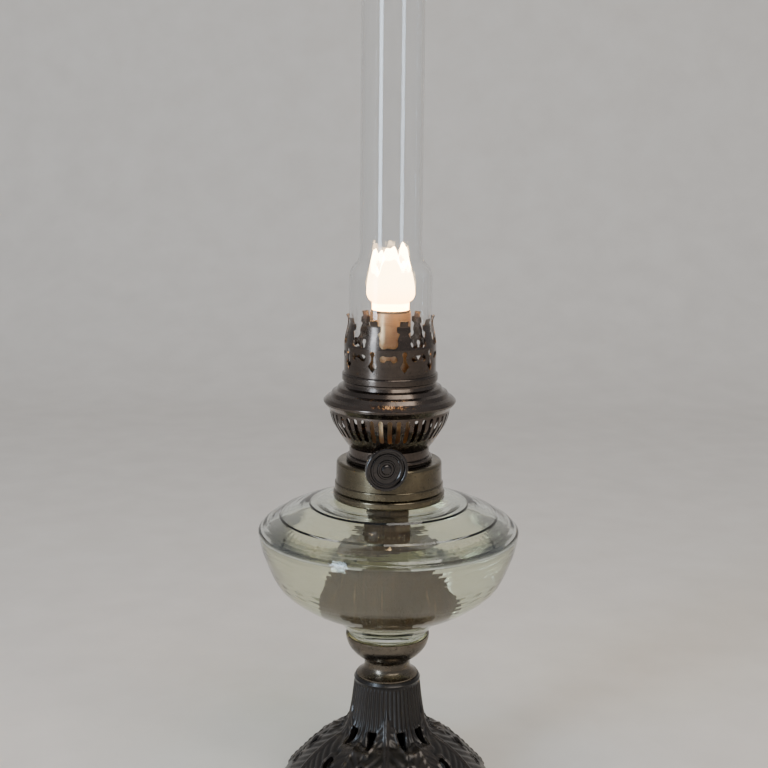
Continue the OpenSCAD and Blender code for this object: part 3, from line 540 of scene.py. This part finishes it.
class OILLAMP_OT_base(bpy.types.Operator):
    """Carves the cast base: a reeded trunk, five large and five small leaves, and the openings between them"""

    bl_idname = "oillamp.base"
    bl_label = "Cast base"

    def execute(self, context):
        rows, columns = 112, 400
        # The outside from the rim of the rod hole over the top plate and down to the foot
        plate = np.array([(ROD_HOLE_R, BASE_TOP), (12.0, BASE_TOP), (20.3, BASE_TOP)])
        shell = smooth_line(BASE_OUTLINE, rows - len(plate))
        line = np.vstack([plate, shell])
        run = np.concatenate([[0], np.cumsum(np.linalg.norm(np.diff(line, axis=0), axis=1))])
        out = -line_normals(shell)
        out *= np.sign(out[len(out) // 2, 0])
        inside = np.vstack([np.column_stack([np.minimum(plate[:, 0], 17.6), plate[:, 1] - 5]), shell - BASE_WALL * out])
        inside[len(plate) :, 1] = np.minimum(inside[len(plate) :, 1], BASE_TOP - 5)
        inside[:, 1] = np.maximum(inside[:, 1], 0)
        out = np.vstack([np.tile([0.0, 1.0], (len(plate), 1)), out])

        turn = 2 * math.pi / columns
        a = np.arange(columns)[None] * turn
        s = run[:, None] + 0 * a
        a = a + 0 * s
        radius, height = line[:, :1], line[:, 1:]

        def across(angle, at_radius, count, first=0.0):
            """Distance along the surface from the nearest of a ring of middles."""
            part = 2 * math.pi / count
            first = math.radians(first + BASE_TURN)
            return at_radius * (np.mod(angle - first + part / 2, part) - part / 2)

        # Openings: under zero inside an opening, and elsewhere the distance from its edge
        def opening(angle):
            nearest = np.full(angle.shape, 99.0)
            for side in (-WINDOW_ANGLE, WINDOW_ANGLE):
                x = np.abs(across(angle, radius, 5, side))
                half = 3.0 * np.sqrt(np.clip((height - 43.6) / 8.0, 0, 1))
                nearest = np.minimum(nearest, np.maximum(x - half, np.maximum(height - 54, 44 - height)))
                for low, long, wide in ((48.5, 5.2, 3.0), (60.0, 4.0, 2.4)):
                    middle = np.interp(low, line[20:, 0], run[20:])
                    oval = np.sqrt((x / wide) ** 2 + ((run[:, None] - middle) / long) ** 2) - 1
                    nearest = np.minimum(nearest, oval * wide)
            return nearest

        edge = opening(a)
        step_a, step_s = radius * turn, np.gradient(run)[:, None]
        slope_a = (np.roll(edge, -1, 1) - np.roll(edge, 1, 1)) / (2 * step_a)
        slope_s = np.gradient(edge, axis=0) / step_s
        steep = slope_a**2 + slope_s**2 + 1e-9
        near = np.abs(edge) < 0.55 * np.maximum(step_a, step_s) * np.sqrt(steep)
        a = np.where(near, a - edge * slope_a / steep / radius, a)
        s = np.where(near, s - edge * slope_s / steep, s)
        edge = np.where(near, 0.0, edge)

        # Relief, in millimetres proud of the outline
        r, z = (np.interp(s, run, line[:, k]) for k in (0, 1))
        reeds = 0.42 * np.cos(50 * (a - math.radians(BASE_TURN))) * ease(z, 46, 56) * ease(-z, -82.2, -80.5)
        leaf_x = across(a, r, 5)
        half = np.interp(z, [3, 10, 25, 38, 46, 58, 66], [7, 17, 22.5, 19, 12.5, 5, 0.2])
        half = half * (1 + 0.07 * np.sin(z * 1.35))
        body = ease(half - np.abs(leaf_x), 0, 1.6)
        veins = 0.28 * np.cos((np.abs(leaf_x) * 0.55 + z) * 1.5) * body * ease(np.abs(leaf_x), 1.5, 4)
        rib = 1.1 * bump_at(leaf_x, 0, 1.3) * ease(-z, -70, -60) * ease(z, 1, 6)
        relief = reeds * (1 - body) + 0.6 * body + veins + rib
        small_x = across(a, r, 5, 36)
        half = np.interp(z, [10, 16, 26, 36, 44.6, 47], [0.5, 7, 11, 10, 8.6, 0.3])
        body2 = ease(half - np.abs(small_x), 0, 1.3) * (1 - body)
        relief += 0.8 * body2 + 0.8 * bump_at(small_x, 0, 1.1) * ease(-z, -60, -50) * ease(z, 8, 14)
        relief += 0.22 * np.cos((np.abs(small_x) * 0.6 + z) * 1.7) * body2
        lip = np.clip(1 - (np.abs(small_x) / 9.0) ** 4, 0, 1)
        relief += 1.3 * lip * np.exp(-(((z - 43.0) / 1.1) ** 2))
        lip = np.clip(1 - (np.abs(leaf_x) / 12.5) ** 4, 0, 1)
        relief += 0.8 * lip * np.exp(-(((z - 44.6) / 1.2) ** 2))
        relief += 0.7 * bump_at(edge, 0.9, 0.8) * ease(-z, -56, -54)
        beads = np.cos(60 * a) * bump_at(z, 6.2, 1.3)
        relief += 0.7 * bump_at(z, 3.4, 1.4) + 0.35 * beads + 0.8 * bump_at(z, 84.0, 1.0) * ease(r, 20.5, 21.2)
        relief *= ease(s, run[2], run[4]) * ease(-s, -run[-1], -run[-3])

        def point(proud):
            w = [np.interp(s, run, v) for v in (line[:, 0], line[:, 1], out[:, 0], out[:, 1])]
            return turned(w[0] + proud * w[2], w[1] + proud * w[3], a)

        outer = point(np.minimum(relief, np.interp(s, run, 75 - line[:, 0] + 0.01)))
        inner = turned(np.interp(s, run, inside[:, 0]), np.interp(s, run, inside[:, 1]), a)
        kept = (edge + np.roll(edge, -1, 1))[:-1] + (edge + np.roll(edge, -1, 1))[1:] > -1e-6

        # Skins with the openings left out, then a wall along each edge between kept and dropped
        quads = grid_faces(rows, columns, wrap_columns=True)[kept.ravel()]
        ids = np.arange(rows * columns).reshape(rows, columns)
        beside = kept != np.roll(kept, 1, 1)
        below = kept[:-1] != kept[1:]
        edges = [
            np.stack([ids[:-1][beside], ids[1:][beside]], 1),
            np.stack([ids[1:-1][below], np.roll(ids, -1, 1)[1:-1][below]], 1),
            np.stack([ids[0], np.roll(ids[0], -1)], 1),
            np.stack([ids[-1], np.roll(ids[-1], -1)], 1),
        ]
        edges = np.vstack(edges)
        far = rows * columns
        walls = np.column_stack([edges, edges[:, ::-1] + far])
        faces = np.vstack([quads, quads[:, ::-1] + far, walls])
        used, faces = np.unique(faces, return_inverse=True)
        points = np.vstack([outer.reshape(-1, 3), inner.reshape(-1, 3)])[used]
        base = add_piece("carved_base", points, faces.reshape(-1, 4), "lamp", sharp=38)
        # How proud each point stands; the iron paints wear and a painted highlight on the raised work from it
        raised = np.concatenate([np.clip(relief / 1.8 + 0.25, 0, 1).ravel(), np.zeros(far)])
        set_attribute(base, "raised", raised[used])
        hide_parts("base_casting")
        colours = context.scene.oillamp_colours
        wear(base, black_iron(colours.iron, colours.iron_rubbed_lit))
        return {"FINISHED"}


class OILLAMP_OT_glass(bpy.types.Operator):
    """Finishes the font, the chimney and the cement that holds the glass"""

    bl_idname = "oillamp.glass"
    bl_label = "Glass"

    def execute(self, context):
        colours = context.scene.oillamp_colours
        wear(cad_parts["glass_font"], clear_glass("font_glass", tuple(colours.font), 0.02, 0.25, 1.5))
        wear(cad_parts["glass_chimney"], clear_glass("chimney_glass", (0.985, 0.99, 0.99), 0.012, 0.1, 1.47))
        f = Finish("plaster")
        tone = f.mix(f.spread(f.noise(0.5, 5, 0.6), 0.3, 0.7), (0.36, 0.32, 0.25), (0.55, 0.50, 0.41))
        plaster = f.principled(Base_Color=tone, Roughness=0.9, Normal=f.bump(f.noise(2.0, 4, 0.6), 0.5, 0.3))
        for node in ("peg_cement", "collar_cement"):
            wear(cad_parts[node], plaster)
        return {"FINISHED"}


class OILLAMP_OT_oil(bpy.types.Operator):
    """Fills the font with lamp oil up to its level, wetting the glass"""

    bl_idname = "oillamp.oil"
    bl_label = "Oil"

    def execute(self, context):
        top = context.scene.oillamp_fill.level / MM
        wall = font_hollow()
        rim = np.interp(top, wall[:, 1], wall[:, 0])
        wall = wall[wall[:, 1] < top - 0.4]
        # The oil climbs the glass a little at its rim
        surface = [(rim + WET, top + 0.5), (rim - 1.2, top + 0.12), (rim - 3.0, top), (rim * 0.5, top), (0, top)]
        line = np.vstack([[(0, wall[0, 1] - WET)], wall + [WET * 0.7, -WET * 0.7], surface])
        oil = add_piece("lamp_oil", *revolved(line, 180), "lamp", sharp=50)
        f = Finish("lamp_oil")
        colour = tuple(context.scene.oillamp_colours.oil)
        body = f.add(
            "ShaderNodeBsdfPrincipled",
            {"Base Color": colour, "Roughness": 0.0, "IOR": 1.44, "Transmission Weight": 1.0},
        )
        open_way = f.add("ShaderNodeBsdfTransparent", {"Color": colour})
        ray = f.add("ShaderNodeLightPath").outputs["Is Shadow Ray"]
        mix = f.add("ShaderNodeMixShader", {0: ray, 1: body.outputs[0], 2: open_way.outputs[0]})
        f.tree.links.new(mix.outputs[0], f.out.inputs["Surface"])
        wear(oil, f.material)
        return {"FINISHED"}


class OILLAMP_OT_wick(bpy.types.Operator):
    """Weaves the wick: one flat band, rolled round the draught tube above and spread out in the oil below"""

    bl_idname = "oillamp.wick"
    bl_label = "Wick"

    def execute(self, context):
        rows, columns = 240, 140
        u = np.linspace(-1, 1, columns + 1)[None]
        t = np.linspace(0, 1, rows)[:, None]
        fray = 0.9 * np.sin(u * 37.0) + 0.7 * np.sin(u * 83.0 + 1.3) + 0.5 * np.sin(u * 151.0 + 0.4)
        z = WICK_TOP + (WICK_BOTTOM + 1.6 - fray * 0.7 - WICK_TOP) * t

        # The CAD band's own form: an eased spread below the neck, a seam that opens for the air inlet
        spread = 1 - ease(z, WICK_BOTTOM, WICK_ROLL_END)
        seam = WICK_INLET_SEAM + (WICK_SEAM - WICK_INLET_SEAM) * np.clip((z - WICK_SEAM_TOP) / WICK_SEAM_CLOSE, 0, 1)
        round_w = 2 * math.pi * WICK_R
        wide = np.where(spread > 0, round_w - WICK_INLET_SEAM, round_w - seam)
        wide = wide + (WICK_SPREAD - (round_w - WICK_INLET_SEAM)) * spread
        bend, reach = WICK_R / (1 - spread * 0.8), WICK_R + 3 * spread
        angle = u * wide / bend / 2
        ripple = 1.1 * spread * np.sin(np.radians(u * 420 + (WICK_ROLL_END - z) * 3))
        weave = 0.10 * np.sin(u * 62 * math.pi) * np.sin(t * 150 * math.pi)

        def side(offset):
            r = bend + offset + ripple
            return np.stack([r * np.sin(angle), bend - reach - r * np.cos(angle), z + 0 * u], -1)

        half = WICK_T / 2 - 0.12
        loop = np.concatenate([side(half + weave), side(-half - weave)[:, ::-1]], 1)
        count = loop.shape[1]
        faces = grid_faces(rows, count, wrap_columns=True)
        k = np.arange(columns)
        cap = np.stack([k, k + 1, count - 2 - k, count - 1 - k], 1)
        faces = np.vstack([faces, cap, cap + (rows - 1) * count])
        wick = add_piece("woven_wick", loop.reshape(-1, 3), faces, "wick_band", sharp=60)
        across = np.concatenate([u + 0 * t, (u + 0 * t)[:, ::-1]], 1)
        set_attribute(wick, "across", across * WICK_SPREAD / 2)
        set_attribute(wick, "along", np.repeat(WICK_TOP - z.mean(1)[:, None], count, 1))
        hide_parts("wick")

        # Twill of warp and weft threads with painted shade in the grooves between the warp threads, charred at the lit
        # end, brown with oil below and streaked where it frays
        f = Finish("oily_cotton")
        warp, down = f.attribute("across"), f.attribute("along")
        threads = f.math("SINE", f.math("MULTIPLY", warp, 2 * math.pi / 1.1))
        picks = f.math("SINE", f.math("ADD", f.math("MULTIPLY", down, 2 * math.pi / 1.3), f.math("MULTIPLY", warp, 2.4)))
        place = f.add("ShaderNodeCombineXYZ", {"X": f.math("MULTIPLY", warp, 0.7), "Y": f.math("MULTIPLY", down, 0.06)})
        streaks = f.noise(1, 5, 0.65, place.outputs[0])
        cloth = tuple(context.scene.oillamp_colours.cotton)
        tone = f.mix(f.spread(streaks, 0.32, 0.68), tuple(c * 0.35 for c in cloth), cloth)
        tone = f.mix(f.math("MULTIPLY", f.spread(streaks, 0.60, 0.68), f.spread(down, 140, 180)), tone, (0.20, 0.13, 0.07))
        tone = f.mix(f.spread(down, 7, 1.5), tone, (0.012, 0.010, 0.009))
        # Painted shade: the cotton is darkened in the grooves between the warp threads
        tone = f.mix(f.spread(threads, -1, -0.3, 0.5, 0), tone, tuple(c * 0.2 for c in cloth))
        relief = f.bump(f.math("MULTIPLY", threads, picks), 0.5, 0.25)
        wear(wick, f.principled(Base_Color=tone, Roughness=0.75, Normal=relief))
        return {"FINISHED"}


class OILLAMP_OT_flame(bpy.types.Operator):
    """Lights the wick: a round flame with a ragged upper edge, closed at its foot"""

    bl_idname = "oillamp.flame"
    bl_label = "Flame"

    def execute(self, context):
        flame = context.scene.oillamp_flame
        if not flame.lit:
            return {"FINISHED"}
        # Radius and height share of the flame from the middle of its foot to its crest and down the inside
        # The foot stays as narrow as the wick until it is clear of the tubes with the wick at its lowest
        line = smooth_line(FLAME_LINE, 72)[:-1]
        columns = 144
        a = np.linspace(0, 2 * math.pi, columns, endpoint=False)[None]
        # Three tongues, and small licks between them
        tongues = 0.16 * np.cos(3 * a + 0.6) + 0.08 * np.cos(5 * a + 2.1) + 0.05 * np.cos(11 * a + 0.7)
        share = line[:, 1:]
        z = WICK_TOP + 0.3 + flame.height / MM * share * (0.86 + tongues * share)
        r = line[:, :1] * (1 + 0.05 * share * np.cos(2 * a + 1.0) + 0.03 * share * np.sin(7 * a))
        points = turned(r, z, a).reshape(-1, 3)
        piece = add_piece("flame", points, grid_faces(len(line), columns, True, True), "wick_band", sharp=0)
        set_attribute(piece, "rise", np.repeat(share, columns, 1))
        f = Finish("flame")
        rise = f.attribute("rise")
        colour = f.mix(f.spread(rise, 0.05, 0.5), (1.0, 0.44, 0.12), (1.0, 0.66, 0.32))
        glow = f.add("ShaderNodeEmission", {"Color": colour, "Strength": flame.glow})
        clear = f.add("ShaderNodeBsdfTransparent")
        thick = f.math("MULTIPLY", f.spread(rise, 0.0, 0.14, 0.15, 1.0), f.spread(rise, 0.82, 1.0, 1.0, 0.25))
        mix = f.add("ShaderNodeMixShader", {0: thick, 1: clear.outputs[0], 2: glow.outputs[0]})
        f.tree.links.new(mix.outputs[0], f.out.inputs["Surface"])
        wear(piece, f.material)
        return {"FINISHED"}


class OILLAMP_PT_panel(bpy.types.Panel):
    """Lists the lamp's settings and the steps that dress it"""

    bl_idname = "OILLAMP_PT_panel"
    bl_label = "Oil Lamp"
    bl_space_type = "VIEW_3D"
    bl_region_type = "UI"
    bl_category = "Oil Lamp"

    def draw(self, context):
        for group in GROUPS:
            settings = getattr(context.scene, f"oillamp_{group}")
            box = self.layout.box()
            box.label(text=group.capitalize())
            for key in settings.__annotations__:
                box.prop(settings, key)
        for step in STEPS:
            self.layout.operator(step.bl_idname)


GROUPS = {
    "colours": LampColours,
    "fill": LampFill,
    "flame": LampFlame,
    "camera": LampCamera,
    "lights": LampLights,
}
STEPS = (
    OILLAMP_OT_stage,
    OILLAMP_OT_base,
    OILLAMP_OT_metals,
    OILLAMP_OT_glass,
    OILLAMP_OT_oil,
    OILLAMP_OT_wick,
    OILLAMP_OT_flame,
)
CLASSES = (*GROUPS.values(), *STEPS, OILLAMP_PT_panel)


def register():
    for c in CLASSES:
        bpy.utils.register_class(c)
    for name, group in GROUPS.items():
        setattr(bpy.types.Scene, f"oillamp_{name}", bpy.props.PointerProperty(type=group))


def unregister():
    for name in GROUPS:
        delattr(bpy.types.Scene, f"oillamp_{name}")
    for c in reversed(CLASSES):
        bpy.utils.unregister_class(c)


def main():
    register()
    for step in STEPS:
        group, name = step.bl_idname.split(".")
        getattr(getattr(bpy.ops, group), name)()


if __name__ == "__main__":
    main()
